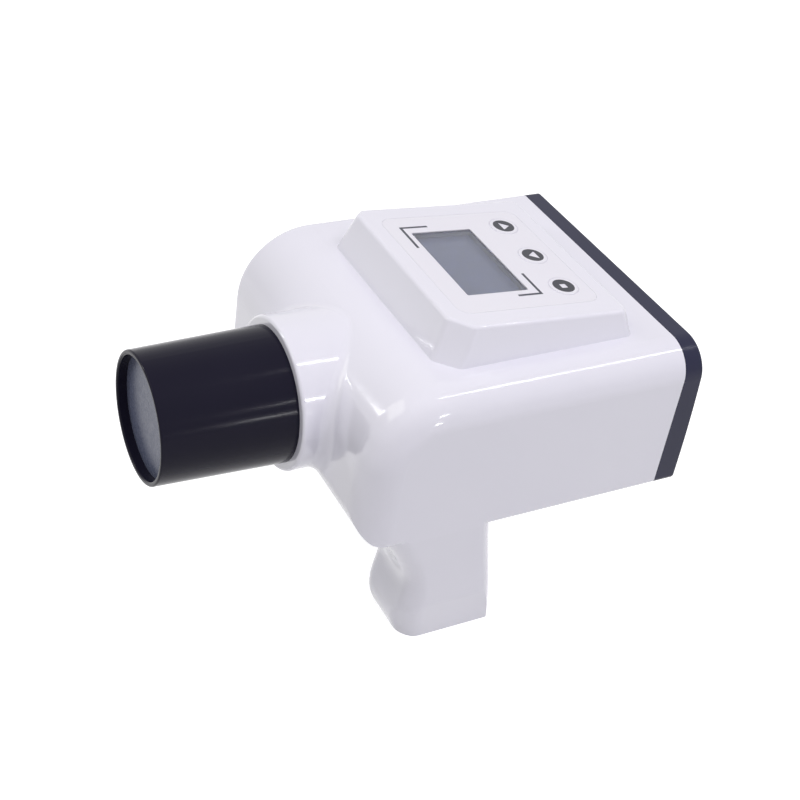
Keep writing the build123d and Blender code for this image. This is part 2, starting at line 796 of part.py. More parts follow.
contact_plane = Plane(origin=(socket_x, socket_face_y - socket_bore_depth, fitting_z),
                      x_dir=(1, 0, 0), z_dir=(0, 1, 0))
with BuildPart() as charge_contact:
    with BuildSketch(contact_plane):
        Circle(contact_pin_radius)
    extrude(amount=socket_bore_depth - contact_pin_end)
    fillet(charge_contact.faces().sort_by(Axis.Y)[-1].edges(), radius=contact_pin_edge)
charge_contact.part.label = "charge_contact"
export_step(charge_contact.part, "parts/charge_contact.step")

# Keypad overlay film with its display opening and key holes
with BuildPart() as panel_overlay:
    with BuildSketch(panel_top.offset(-overlay_thickness)):
        RectangleRounded(overlay_width, overlay_length, overlay_corner - seat_gap)
        with Locations((0, display_v)):
            RectangleRounded(display_width, display_length, display_corner, mode=Mode.SUBTRACT)
        with Locations(*key_spots):
            Circle(key_radius + slide_gap, mode=Mode.SUBTRACT)
    extrude(amount=overlay_thickness)
panel_overlay.part.label = "panel_overlay"
export_step(panel_overlay.part, "parts/panel_overlay.step")

# Clear window under the overlay
with BuildPart() as display_window:
    with BuildSketch(panel_top.offset(-overlay_thickness - window_thickness)):
        with Locations((0, display_v)):
            RectangleRounded(display_width + 2 * window_margin, display_length + 2 * window_margin,
                             window_corner - seat_gap)
    extrude(amount=window_thickness)
display_window.part.label = "display_window"
export_step(display_window.part, "parts/display_window.step")

# Display glass and the board that carries it
with BuildPart() as display_panel:
    with BuildSketch(panel_top.offset(display_board_top)):
        with Locations((0, display_v)):
            Rectangle(lcd_width, lcd_length)
    extrude(amount=lcd_thickness)
    chamfer(display_panel.faces().sort_by(Axis.Z)[-1].edges(), length=lcd_bevel)
display_panel.part.label = "display_panel"
export_step(display_panel.part, "parts/display_panel.step")

with BuildPart() as display_board:
    with BuildSketch(panel_top.offset(display_board_top)):
        with Locations((0, display_v)):
            RectangleRounded(display_board_width, display_board_length, board_corner)
        with Locations(*display_spots):
            Circle(board_screw_radius + seat_gap, mode=Mode.SUBTRACT)
    extrude(amount=-board_thickness)
display_board.part.label = "display_board"
export_step(display_board.part, "parts/display_board.step")

with BuildPart() as keypad_board:
    with BuildSketch(panel_top.offset(keypad_board_top)):
        with Locations((0, key_v)):
            RectangleRounded(keypad_board_width, keypad_board_length, board_corner)
        with Locations(*keypad_spots):
            Circle(board_screw_radius + seat_gap, mode=Mode.SUBTRACT)
    extrude(amount=-board_thickness)
keypad_board.part.label = "keypad_board"
export_step(keypad_board.part, "parts/keypad_board.step")

# Push switches under the keys
with BuildPart() as key_switches:
    with BuildSketch(panel_top.offset(keypad_board_top)):
        with Locations(*key_spots):
            RectangleRounded(switch_side, switch_side, switch_corner)
    extrude(amount=switch_height)
    with BuildSketch(panel_top.offset(keypad_board_top + switch_height)):
        with Locations(*key_spots):
            Circle(plunger_radius)
    extrude(amount=plunger_height)
key_switches.part.label = "key_switches"
export_step(key_switches.part, "parts/key_switches.step")

# Small screws that hold both boards to the panel's bosses
with BuildPart() as board_screws:
    for level, spots in ((display_board_top, display_spots), (keypad_board_top, keypad_spots)):
        under = panel_top.offset(level - board_thickness)
        for u, v in spots:
            seat = Plane(origin=under.from_local_coords((u, v, 0)), x_dir=(1, 0, 0), z_dir=-panel_top.z_dir)
            add(pan_screw(seat, board_screw_radius, board_screw_head, board_screw_head_height,
                          board_screw_length))
board_screws.part.label = "board_screws"
export_step(board_screws.part, "parts/board_screws.step")


def key_part(x, glyph):
    """Round key cap on its stem, with a catch under the panel and a sunk sign on top."""
    with BuildPart() as key:
        with BuildSketch(panel_top.offset(key_proud - key_cap)):
            with Locations((x, key_v)):
                Circle(key_radius)
        extrude(amount=key_cap)
        fillet(key.faces().sort_by(Axis.Z)[-1].edges(), radius=key_edge)
        with BuildSketch(panel_top.offset(-key_stem_end)):
            with Locations((x, key_v)):
                Circle(key_stem_radius)
        extrude(amount=key_stem_end + key_proud - key_cap)
        with BuildSketch(panel_top.offset(-panel_plate - seat_gap - key_catch)):
            with Locations((x, key_v)):
                Circle(key_catch_radius)
        extrude(amount=key_catch)
        with BuildSketch(panel_top.offset(key_proud)):
            with Locations((x, key_v)):
                add(glyph)
        extrude(amount=-glyph_depth, mode=Mode.SUBTRACT)
    return key.part


# Signs on the keys: up, down and a small square
with BuildSketch() as up_sign:
    with BuildLine():
        Polyline((-sign_half_width, up_sign_base), (sign_half_width, up_sign_base),
                 (0, up_sign_base + sign_height), close=True)
    make_face()
    fillet(up_sign.vertices(), radius=sign_corner)
with BuildSketch() as down_sign:
    with BuildLine():
        Polyline((-sign_half_width, down_sign_base), (0, down_sign_base - sign_height),
                 (sign_half_width, down_sign_base), close=True)
    make_face()
    fillet(down_sign.vertices(), radius=sign_corner)
with BuildSketch() as square_sign:
    RectangleRounded(sign_square, sign_square, sign_corner)

key_up = key_part(-key_pitch, up_sign.sketch)
key_up.label = "key_up"
export_step(key_up, "parts/key_up.step")
key_down = key_part(0, down_sign.sketch)
key_down.label = "key_down"
export_step(key_down, "parts/key_down.step")
key_select = key_part(key_pitch, square_sign.sketch)
key_select.label = "key_select"
export_step(key_select, "parts/key_select.step")

# Dark beam cone: slightly tapered tube, its rear end plugged into the collar
with BuildPart() as cone_tube:
    with BuildSketch(Plane.YZ):
        with BuildLine():
            Polyline((cone_tip_y, axis_height + cone_bore), (cone_tip_y, axis_height + cone_tip_radius),
                     (collar_front_y, axis_height + cone_base_radius),
                     (collar_front_y, axis_height + cone_spigot_radius),
                     (socket_floor_y - seat_gap, axis_height + cone_spigot_radius),
                     (socket_floor_y - seat_gap, axis_height + liner_radius + seat_gap),
                     (plate_rear_y, axis_height + liner_radius + seat_gap),
                     (plate_rear_y, axis_height + end_plate_radius + seat_gap),
                     (plate_front_y, axis_height + end_plate_radius + seat_gap),
                     (plate_front_y, axis_height + cone_bore), close=True)
        make_face()
    revolve(axis=Axis((0, 0, axis_height), (0, 1, 0)))
    tip_rings = cone_tube.edges().filter_by(lambda edge: abs(edge.center().Y - cone_tip_y) < 0.01)
    fillet(tip_rings, radius=cone_edge)
cone_tube.part.label = "cone_tube"
export_step(cone_tube.part, "parts/cone_tube.step")

# End plate in the tip and the lead-filled liner behind it
with BuildPart() as cone_end_plate:
    with BuildSketch(beam_at(plate_front_y)):
        Circle(end_plate_radius)
    extrude(amount=end_plate_thickness)
cone_end_plate.part.label = "cone_end_plate"
export_step(cone_end_plate.part, "parts/cone_end_plate.step")

with BuildPart() as cone_liner:
    with BuildSketch(beam_at(plate_rear_y)):
        Circle(liner_radius)
        Circle(liner_radius - liner_wall, mode=Mode.SUBTRACT)
    extrude(amount=socket_floor_y - plate_rear_y)
cone_liner.part.label = "cone_liner"
export_step(cone_liner.part, "parts/cone_liner.step")

# Tube head case: box open at the rear, snout in front, ears at the foot
with BuildPart() as tube_head_case:
    with BuildSketch(beam_at(head_front_y)):
        RectangleRounded(head_width, head_height, head_corner)
    extrude(amount=head_length)
    with BuildSketch(beam_at(snout_front_y)):
        Circle(snout_radius)
    extrude(amount=head_front_y - snout_front_y + head_wall)
    with BuildSketch(Plane.XY.offset(head_bottom_z)):
        with Locations(*ear_spots):
            Circle(ear_radius)
        with Locations((-ear_x + ear_radius, ear_front_y), (-ear_x + ear_radius, ear_rear_y),
                       (ear_x - ear_radius, ear_front_y), (ear_x - ear_radius, ear_rear_y)):
            Rectangle(2 * ear_radius, 2 * ear_radius)
    extrude(amount=head_wall)
    with BuildSketch(beam_at(head_front_y + head_wall)):
        RectangleRounded(head_width - 2 * head_wall, head_height - 2 * head_wall, head_corner - head_wall)
    extrude(amount=head_length, mode=Mode.SUBTRACT)
    with BuildSketch(beam_at(head_rear_y - lid_post_length)):
        with GridLocations(2 * spacer_x, 2 * spacer_z, 2, 2):
            Circle(lid_post_radius)
    extrude(amount=lid_post_length)
    with BuildSketch(beam_at(head_rear_y)):
        with GridLocations(2 * spacer_x, 2 * spacer_z, 2, 2):
            Circle(screw_radius + seat_gap)
    extrude(amount=-stud_length, mode=Mode.SUBTRACT)
    with BuildSketch(beam_at(snout_front_y - cut_over)):
        Circle(snout_bore)
    extrude(amount=head_front_y - snout_front_y + 3 * cut_over + head_wall, mode=Mode.SUBTRACT)
    with BuildSketch(beam_at(snout_front_y)):
        Circle(filter_radius)
    extrude(amount=filter_thickness + collimator_thickness, mode=Mode.SUBTRACT)
    with BuildSketch(Plane.XY.offset(head_bottom_z - cut_over)):
        with Locations(*ear_spots):
            Circle(screw_radius + 2 * seat_gap)
    extrude(amount=head_wall + 2 * cut_over, mode=Mode.SUBTRACT)
tube_head_case.part.label = "tube_head_case"
export_step(tube_head_case.part, "parts/tube_head_case.step")

with BuildPart() as tube_head_lid:
    with BuildSketch(beam_at(head_rear_y)):
        RectangleRounded(head_width, head_height, head_corner)
        with GridLocations(2 * spacer_x, 2 * spacer_z, 2, 2):
            Circle(screw_radius + 2 * seat_gap, mode=Mode.SUBTRACT)
    extrude(amount=lid_thickness)
tube_head_lid.part.label = "tube_head_lid"
export_step(tube_head_lid.part, "parts/tube_head_lid.step")

# Screws through the tube head's ears
with BuildPart() as ear_screws:
    for x, y in ear_spots:
        seat = Plane(origin=(x, y, head_bottom_z + head_wall), x_dir=(1, 0, 0), z_dir=(0, 0, 1))
        add(pan_screw(seat, screw_radius, screw_head_radius, screw_head_height, ear_screw_length))
ear_screws.part.label = "ear_screws"
export_step(ear_screws.part, "parts/ear_screws.step")

# Aluminium filter and lead collimator in the snout
with BuildPart() as collimator_ring:
    with BuildSketch(beam_at(snout_front_y)):
        Circle(filter_radius - seat_gap)
        Circle(collimator_bore, mode=Mode.SUBTRACT)
    extrude(amount=collimator_thickness)
collimator_ring.part.label = "collimator_ring"
export_step(collimator_ring.part, "parts/collimator_ring.step")

with BuildPart() as beam_filter:
    with BuildSketch(beam_at(snout_front_y + collimator_thickness)):
        Circle(filter_radius - seat_gap)
    extrude(amount=filter_thickness)
beam_filter.part.label = "beam_filter"
export_step(beam_filter.part, "parts/beam_filter.step")

# X-ray tube: glass bulb, anode, cathode, lead sleeve, rings and cradles, all along X
tube_axis = Plane(origin=(0, tube_y, axis_height), x_dir=(0, 1, 0), z_dir=(1, 0, 0))


def bulb(radius, half_length, corner):
    """Round bar with rounded ends, centred on the x-ray tube's axis."""
    with BuildPart() as bar:
        with BuildSketch(tube_axis.offset(-half_length)):
            Circle(radius)
        extrude(amount=2 * half_length)
        fillet(bar.edges().filter_by(GeomType.CIRCLE), radius=corner)
    return bar.part


with BuildPart() as tube_glass:
    add(bulb(tube_radius, tube_half_length, tube_corner))
    add(bulb(tube_radius - glass_wall, tube_half_length - glass_wall, tube_corner - glass_wall),
        mode=Mode.SUBTRACT)
    with BuildSketch(tube_axis.offset(-tube_half_length - cut_over)):
        Circle(anode_stem + seat_gap)
    extrude(amount=cut_over + 2 * glass_wall, mode=Mode.SUBTRACT)
    with BuildSketch(tube_axis.offset(tube_half_length - 2 * glass_wall)):
        Circle(cathode_stem + seat_gap)
    extrude(amount=cut_over + 2 * glass_wall, mode=Mode.SUBTRACT)
tube_glass.part.label = "tube_glass"
export_step(tube_glass.part, "parts/tube_glass.step")

with BuildPart() as anode:
    with BuildSketch(tube_axis.offset(-tube_half_length - stem_proud)):
        Circle(anode_stem)
    extrude(amount=tube_half_length)
    with BuildSketch(tube_axis.offset(-anode_length)):
        Circle(anode_radius)
    extrude(amount=anode_length)
    with BuildSketch(Plane.XY.offset(axis_height)):
        with BuildLine():
            Polyline((-anode_face, tube_y - anode_slope),
                     (anode_face, tube_y + anode_slope),
                     (anode_face + cut_over, tube_y + anode_slope),
                     (anode_face + cut_over, tube_y - anode_slope), close=True)
        make_face()
    extrude(amount=anode_radius + cut_over, both=True, mode=Mode.SUBTRACT)
anode.part.label = "anode"
export_step(anode.part, "parts/anode.step")

with BuildPart() as cathode:
    with BuildSketch(tube_axis.offset(cathode_start)):
        Circle(cathode_radius)
    extrude(amount=cathode_length)
    with BuildSketch(tube_axis.offset(cathode_start)):
        Circle(cathode_cup_radius)
    extrude(amount=cathode_cup, mode=Mode.SUBTRACT)
    with BuildSketch(tube_axis.offset(cathode_start + cathode_length)):
        Circle(cathode_stem)
    extrude(amount=tube_half_length + stem_proud - cathode_start - cathode_length)
cathode.part.label = "cathode"
export_step(cathode.part, "parts/cathode.step")

with BuildPart() as lead_sleeve:
    with BuildSketch(tube_axis.offset(-sleeve_half_length)):
        Circle(sleeve_radius)
        Circle(sleeve_radius - sleeve_wall, mode=Mode.SUBTRACT)
    extrude(amount=2 * sleeve_half_length)
    with BuildSketch(beam_at(tube_y - sleeve_radius - cut_over)):
        Circle(sleeve_window)
    extrude(amount=sleeve_radius, mode=Mode.SUBTRACT)
lead_sleeve.part.label = "lead_sleeve"
export_step(lead_sleeve.part, "parts/lead_sleeve.step")

with BuildPart() as tube_rings:
    for x in tube_ring_starts:
        with BuildSketch(tube_axis.offset(x)):
            Circle(sleeve_radius - sleeve_wall - seat_gap / 2)
            Circle(tube_radius + seat_gap / 2, mode=Mode.SUBTRACT)
        extrude(amount=tube_ring_width)
tube_rings.part.label = "tube_rings"
export_step(tube_rings.part, "parts/tube_rings.step")

with BuildPart() as tube_cradles:
    for x in cradle_starts:
        with BuildSketch(tube_axis.offset(x)):
            with Locations((0, (head_bottom_z + head_wall - axis_height) / 2)):
                Rectangle(2 * sleeve_radius + 2 * cradle_side, axis_height - head_bottom_z - head_wall)
            Circle(sleeve_radius + seat_gap, mode=Mode.SUBTRACT)
        extrude(amount=cradle_width)
tube_cradles.part.label = "tube_cradles"
export_step(tube_cradles.part, "parts/tube_cradles.step")

# Potted high-voltage block behind the tube
with BuildPart() as high_voltage_block:
    with BuildSketch(beam_at(block_front_y)):
        Rectangle(block_width, head_height - 2 * head_wall)
    extrude(amount=head_rear_y - block_front_y)
    fillet(high_voltage_block.edges().filter_by(Axis.Y), radius=block_corner)
high_voltage_block.part.label = "high_voltage_block"
export_step(high_voltage_block.part, "parts/high_voltage_block.step")

# Spacers with studs that close the lid and carry the control board
with BuildPart() as board_spacers:
    with BuildSketch(beam_at(head_rear_y + lid_thickness)):
        with GridLocations(2 * spacer_x, 2 * spacer_z, 2, 2):
            RegularPolygon(spacer_radius, 6)
    extrude(amount=spacer_length)
    with BuildSketch(beam_at(head_rear_y + lid_thickness)):
        with GridLocations(2 * spacer_x, 2 * spacer_z, 2, 2):
            Circle(screw_radius)
    extrude(amount=-stud_length + stud_gap)
    with BuildSketch(beam_at(control_board_y)):
        with GridLocations(2 * spacer_x, 2 * spacer_z, 2, 2):
            Circle(screw_radius + seat_gap)
    extrude(amount=-spacer_hole_depth, mode=Mode.SUBTRACT)
board_spacers.part.label = "board_spacers"
export_step(board_spacers.part, "parts/board_spacers.step")

with BuildPart() as control_board:
    with BuildSketch(beam_at(control_board_y)):
        RectangleRounded(control_board_width, control_board_height, control_board_corner)
        with GridLocations(2 * spacer_x, 2 * spacer_z, 2, 2):
            Circle(screw_radius + 2 * seat_gap, mode=Mode.SUBTRACT)
    extrude(amount=board_thickness)
control_board.part.label = "control_board"
export_step(control_board.part, "parts/control_board.step")

with BuildPart() as control_screws:
    for x in (-spacer_x, spacer_x):
        for z in (axis_height - spacer_z, axis_height + spacer_z):
            seat = Plane(origin=(x, control_board_y + board_thickness, z), x_dir=(1, 0, 0), z_dir=(0, 1, 0))
            add(pan_screw(seat, screw_radius, screw_head_radius, screw_head_height, control_screw_length))
control_screws.part.label = "control_screws"
export_step(control_screws.part, "parts/control_screws.step")

# Capacitors and buzzer on the control board
with BuildPart() as capacitors:
    with BuildSketch(beam_at(control_board_y + board_thickness)):
        with Locations(capacitor_row):
            with GridLocations(capacitor_pitch, 0, 3, 1):
                Circle(capacitor_radius)
    extrude(amount=capacitor_length)
    fillet(capacitors.faces().group_by(Axis.Y)[-1].edges(), radius=capacitor_edge)
capacitors.part.label = "capacitors"
export_step(capacitors.part, "parts/capacitors.step")

with BuildPart() as buzzer:
    with BuildSketch(beam_at(control_board_y + board_thickness)):
        with Locations(buzzer_spot):
            Circle(buzzer_radius)
    extrude(amount=buzzer_height)
    fillet(buzzer.faces().sort_by(Axis.Y)[-1].edges(), radius=buzzer_edge)
    with BuildSketch(beam_at(control_board_y + board_thickness + buzzer_height)):
        with Locations(buzzer_spot):
            Circle(buzzer_hole)
    extrude(amount=-buzzer_hole_depth, mode=Mode.SUBTRACT)
buzzer.part.label = "buzzer"
export_step(buzzer.part, "parts/buzzer.step")

# Battery door in the foot with counterbored screws
with BuildPart() as battery_door:
    with BuildSketch(Plane.XY.offset(foot_step)):
        with Locations((door_x, (door_front_y + door_rear_y) / 2)):
            RectangleRounded(door_width, door_rear_y - door_front_y, door_corner - slide_gap)
    extrude(amount=door_thickness + seat_gap - foot_step)
    fillet(battery_door.faces().sort_by(Axis.Z)[0].edges(), radius=door_edge)
    with BuildSketch(Plane.XY):
        with Locations(*door_screw_spots):
            Circle(screw_radius + 2 * seat_gap)
    extrude(amount=2 * door_thickness, mode=Mode.SUBTRACT)
    with BuildSketch(Plane.XY):
        with Locations(*door_screw_spots):
            Circle(screw_head_radius + slide_gap)
    extrude(amount=door_screw_seat_z, mode=Mode.SUBTRACT)
battery_door.part.label = "battery_door"
export_step(battery_door.part, "parts/battery_door.step")

with BuildPart() as door_screws:
    for x, y in door_screw_spots:
        seat = Plane(origin=(x, y, door_screw_seat_z), x_dir=(1, 0, 0), z_dir=(0, 0, -1))
        add(pan_screw(seat, screw_radius, screw_head_radius, door_screw_head_height, door_screw_length))
door_screws.part.label = "door_screws"
export_step(door_screws.part, "parts/door_screws.step")

# Battery: foam pad, four flat cells and the protection board on top
pad_bottom_z = door_thickness + seat_gap
with BuildPart() as battery_pad:
    with BuildSketch(Plane.XY.offset(pad_bottom_z)):
        with Locations((pocket_x, pocket_y)):
            RectangleRounded(pocket_width - 2 * pad_gap, pocket_depth - 2 * pad_gap,
                             pocket_corner - pad_gap)
    extrude(amount=pad_thickness)
battery_pad.part.label = "battery_pad"
export_step(battery_pad.part, "parts/battery_pad.step")

with BuildPart() as battery_cells:
    with BuildSketch(Plane.XY.offset(pad_bottom_z + pad_thickness)):
        with Locations((pocket_x, pocket_y)):
            with GridLocations(0, cell_pitch, 1, cell_count):
                RectangleRounded(cell_width, cell_thickness, cell_corner)
    extrude(amount=cell_height)
battery_cells.part.label = "battery_cells"
export_step(battery_cells.part, "parts/battery_cells.step")

with BuildPart() as battery_board:
    with BuildSketch(Plane.XY.offset(pad_bottom_z + pad_thickness + cell_height)):
        with Locations((pocket_x, pocket_y)):
            RectangleRounded(cell_width, cell_count * cell_pitch, board_corner)
    extrude(amount=board_thickness)
battery_board.part.label = "battery_board"
export_step(battery_board.part, "parts/battery_board.step")
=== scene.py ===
"""Dressed scene of the hand-held dental x-ray unit: materials, added pieces, floor, lamps and camera."""
import math

import bmesh
import bpy
from mathutils import Matrix, Vector


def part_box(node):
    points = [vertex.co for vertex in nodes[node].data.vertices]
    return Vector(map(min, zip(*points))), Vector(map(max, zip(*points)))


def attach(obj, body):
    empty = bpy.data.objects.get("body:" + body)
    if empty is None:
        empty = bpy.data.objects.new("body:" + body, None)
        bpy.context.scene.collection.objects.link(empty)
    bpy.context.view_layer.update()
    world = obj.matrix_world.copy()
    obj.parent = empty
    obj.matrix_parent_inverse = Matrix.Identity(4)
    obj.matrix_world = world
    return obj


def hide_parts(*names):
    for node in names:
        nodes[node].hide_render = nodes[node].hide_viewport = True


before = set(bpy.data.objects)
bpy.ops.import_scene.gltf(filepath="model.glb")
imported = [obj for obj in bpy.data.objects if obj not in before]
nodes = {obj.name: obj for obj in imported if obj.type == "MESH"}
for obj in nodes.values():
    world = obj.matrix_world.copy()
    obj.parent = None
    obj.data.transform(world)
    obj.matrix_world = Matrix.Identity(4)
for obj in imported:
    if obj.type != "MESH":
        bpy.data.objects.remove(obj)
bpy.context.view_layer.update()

# The sloping key panel: its middle, its two directions, and where the keys are on it, in millimetres
MM = 0.001
TILT = math.radians(4.3)
PANEL = Vector((0.0, 0.0465, 0.1747))
PANEL_V = Vector((0.0, math.cos(TILT), -math.sin(TILT)))
PANEL_N = Vector((0.0, math.sin(TILT), math.cos(TILT)))
KEY_V = 26.6
KEY_PITCH = 29.3


# Small helpers
def clamp(value):
    """The value, held between 0 and 1."""
    return min(1.0, max(0.0, value))


def panel_point(x, v, height):
    """Point of the sloping panel, in metres, from millimetres across, up and above it."""
    return PANEL + Vector((x, 0.0, 0.0)) * MM + PANEL_V * (v * MM) + PANEL_N * (height * MM)


def add_object(name, data):
    """New object with the given data, linked to the scene."""
    item = bpy.data.objects.new(name, data)
    bpy.context.scene.collection.objects.link(item)
    return item


def mesh_object(name, verts, faces, material):
    """New object made of the given faces, in one material."""
    mesh = bpy.data.meshes.new(name)
    mesh.from_pydata(verts, [], faces)
    mesh.materials.append(material)
    return add_object(name, mesh)


# Node helpers
def new_material(name):
    """Empty node material with its Principled shader and its output."""
    mat = bpy.data.materials.new(name)
    mat.use_nodes = True
    tree = mat.node_tree
    tree.nodes.clear()
    out = tree.nodes.new("ShaderNodeOutputMaterial")
    shader = tree.nodes.new("ShaderNodeBsdfPrincipled")
    tree.links.new(shader.outputs[0], out.inputs[0])
    return mat, tree, shader


def object_noise(tree, scale, detail=3.0):
    """Noise in object space, so that it stays on the piece."""
    coords = tree.nodes.new("ShaderNodeTexCoord")
    noise = tree.nodes.new("ShaderNodeTexNoise")
    noise.inputs["Scale"].default_value = scale
    noise.inputs["Detail"].default_value = detail
    tree.links.new(coords.outputs["Object"], noise.inputs["Vector"])
    return noise


def remap(tree, source, low, high, from_low=0.3, from_high=0.7):
    """Map a signal to the given range; a noise's signal lies mostly between 0.3 and 0.7."""
    ramp = tree.nodes.new("ShaderNodeMapRange")
    ramp.inputs["From Min"].default_value = from_low
    ramp.inputs["From Max"].default_value = from_high
    ramp.inputs["To Min"].default_value = low
    ramp.inputs["To Max"].default_value = high
    tree.links.new(source, ramp.inputs["Value"])
    return ramp.outputs[0]


def two_colours(tree, source, first, second):
    """Blend two colours by a signal."""
    mix = tree.nodes.new("ShaderNodeMix")
    mix.data_type = "RGBA"
    mix.inputs[6].default_value = (*first, 1.0)
    mix.inputs[7].default_value = (*second, 1.0)
    tree.links.new(source, mix.inputs[0])
    return mix.outputs[2]


def bump(tree, shader, source, distance, strength):
    """Bump from a signal into the shader's normal."""
    node = tree.nodes.new("ShaderNodeBump")
    node.inputs["Distance"].default_value = distance
    node.inputs["Strength"].default_value = strength
    tree.links.new(source, node.inputs["Height"])
    tree.links.new(node.outputs[0], shader.inputs["Normal"])


def along(tree, place, origin, axis):
    """Distance of a point from the origin, measured along an axis."""
    offset = tree.nodes.new("ShaderNodeVectorMath")
    offset.operation = "SUBTRACT"
    offset.inputs[1].default_value = origin
    tree.links.new(place, offset.inputs[0])
    measure = tree.nodes.new("ShaderNodeVectorMath")
    measure.operation = "DOT_PRODUCT"
    measure.inputs[1].default_value = axis
    tree.links.new(offset.outputs[0], measure.inputs[0])
    return measure.outputs["Value"]


def combine(tree, operation, first, second):
    """Two signals joined by a math operation."""
    node = tree.nodes.new("ShaderNodeMath")
    node.operation = operation
    tree.links.new(first, node.inputs[0])
    tree.links.new(second, node.inputs[1])
    return node.outputs[0]


# Kinds of material; a noise's scale is per metre, and bump depths are in metres
DRIFT_SCALE = 14.0
COAT_ROUGHNESS = 0.04
MARK_DEPTH = 0.00002
HAZE_SCALE = 60.0
HAZE_ROUGHNESS = 0.03
HAZE_TINT = 0.97
CLEAR_IOR = 1.49
COPPER_RUN_SCALE = 90.0


def plastic(name, first, second, rough, coat=0.0, grain=900.0, depth=0.00002, ior=1.5, shine=0.5):
    """Moulded plastic: slow colour change, fine grain and uneven gloss."""
    mat, tree, shader = new_material(name)
    slow = object_noise(tree, DRIFT_SCALE, 2.0)
    tree.links.new(two_colours(tree, remap(tree, slow.outputs[0], 0.0, 1.0), first, second),
                   shader.inputs["Base Color"])
    fine = object_noise(tree, grain, 2.0)
    tree.links.new(remap(tree, fine.outputs[0], rough[0], rough[1]), shader.inputs["Roughness"])
    bump(tree, shader, fine.outputs[0], depth, 0.35)
    shader.inputs["IOR"].default_value = ior
    shader.inputs["Specular IOR Level"].default_value = shine
    shader.inputs["Coat Weight"].default_value = coat
    shader.inputs["Coat Roughness"].default_value = COAT_ROUGHNESS
    return mat


def metal(name, first, second, rough, brushed=(1.0, 1.0, 1.0), scale=400.0):
    """Metal with machining marks stretched along one axis."""
    mat, tree, shader = new_material(name)
    coords = tree.nodes.new("ShaderNodeTexCoord")
    stretch = tree.nodes.new("ShaderNodeMapping")
    stretch.inputs["Scale"].default_value = brushed
    noise = tree.nodes.new("ShaderNodeTexNoise")
    noise.inputs["Scale"].default_value = scale
    noise.inputs["Detail"].default_value = 4.0
    tree.links.new(coords.outputs["Object"], stretch.inputs["Vector"])
    tree.links.new(stretch.outputs[0], noise.inputs["Vector"])
    tree.links.new(two_colours(tree, remap(tree, noise.outputs[0], 0.0, 1.0), first, second),
                   shader.inputs["Base Color"])
    tree.links.new(remap(tree, noise.outputs[0], rough[0], rough[1]), shader.inputs["Roughness"])
    bump(tree, shader, noise.outputs[0], MARK_DEPTH, 0.3)
    shader.inputs["Metallic"].default_value = 1.0
    return mat


def clear(name, tint):
    """Clear window plastic or glass with faint haze."""
    mat, tree, shader = new_material(name)
    haze = object_noise(tree, HAZE_SCALE, 2.0)
    tree.links.new(two_colours(tree, haze.outputs[0], tint, tuple(c * HAZE_TINT for c in tint)),
                   shader.inputs["Base Color"])
    tree.links.new(remap(tree, haze.outputs[0], HAZE_ROUGHNESS, HAZE_ROUGHNESS * 2),
                   shader.inputs["Roughness"])
    shader.inputs["Transmission Weight"].default_value = 1.0
    shader.inputs["IOR"].default_value = CLEAR_IOR
    return mat


def board(name):
    """Circuit board with faint copper runs under the green mask."""
    mat, tree, shader = new_material(name)
    coords = tree.nodes.new("ShaderNodeTexCoord")
    runs = tree.nodes.new("ShaderNodeTexBrick")
    runs.inputs["Scale"].default_value = COPPER_RUN_SCALE
    runs.inputs["Mortar Size"].default_value = 0.03
    runs.inputs["Color1"].default_value = (0.02, 0.13, 0.06, 1)
    runs.inputs["Color2"].default_value = (0.025, 0.16, 0.075, 1)
    runs.inputs["Mortar"].default_value = (0.05, 0.24, 0.11, 1)
    tree.links.new(coords.outputs["Object"], runs.inputs["Vector"])
    tree.links.new(runs.outputs["Color"], shader.inputs["Base Color"])
    fine = object_noise(tree, 500.0)
    tree.links.new(remap(tree, fine.outputs[0], 0.3, 0.45), shader.inputs["Roughness"])
    return mat


# Key caps: colours, and in metres the printed disc, its soft edge and the heights where the print starts
KEY_CAP = (0.80, 0.79, 0.86)
KEY_CAP_LOW = (0.78, 0.77, 0.84)
KEY_INK = (0.020, 0.021, 0.034)
DISC_RADIUS = 0.0057
DISC_EDGE = 0.00004
PRINT_FROM = 0.00010
PRINT_FULL = 0.00016


def printed_key(name, x):
    """Key cap's plastic with a dark disc printed around its sunk sign, which stays bare."""
    mat = plastic(name, KEY_CAP, KEY_CAP_LOW, (0.28, 0.38), grain=1500.0)
    tree = mat.node_tree
    shader = tree.nodes["Principled BSDF"]
    bare = shader.inputs["Base Color"].links[0].from_socket
    centre = panel_point(x, KEY_V, 0.0)
    place = tree.nodes.new("ShaderNodeTexCoord").outputs["Object"]
    across = along(tree, place, centre, (1.0, 0.0, 0.0))
    up_panel = along(tree, place, centre, PANEL_V)
    squares = combine(tree, "ADD", combine(tree, "MULTIPLY", across, across),
                      combine(tree, "MULTIPLY", up_panel, up_panel))
    disc = remap(tree, squares, 1.0, 0.0, (DISC_RADIUS - DISC_EDGE) ** 2, (DISC_RADIUS + DISC_EDGE) ** 2)
    top = remap(tree, along(tree, place, centre, PANEL_N), 0.0, 1.0, PRINT_FROM, PRINT_FULL)
    mix = tree.nodes.new("ShaderNodeMix")
    mix.data_type = "RGBA"
    mix.inputs[7].default_value = (*KEY_INK, 1.0)
    tree.links.new(combine(tree, "MULTIPLY", disc, top), mix.inputs[0])
    tree.links.new(bare, mix.inputs[6])
    tree.links.new(mix.outputs[2], shader.inputs["Base Color"])
    return mat


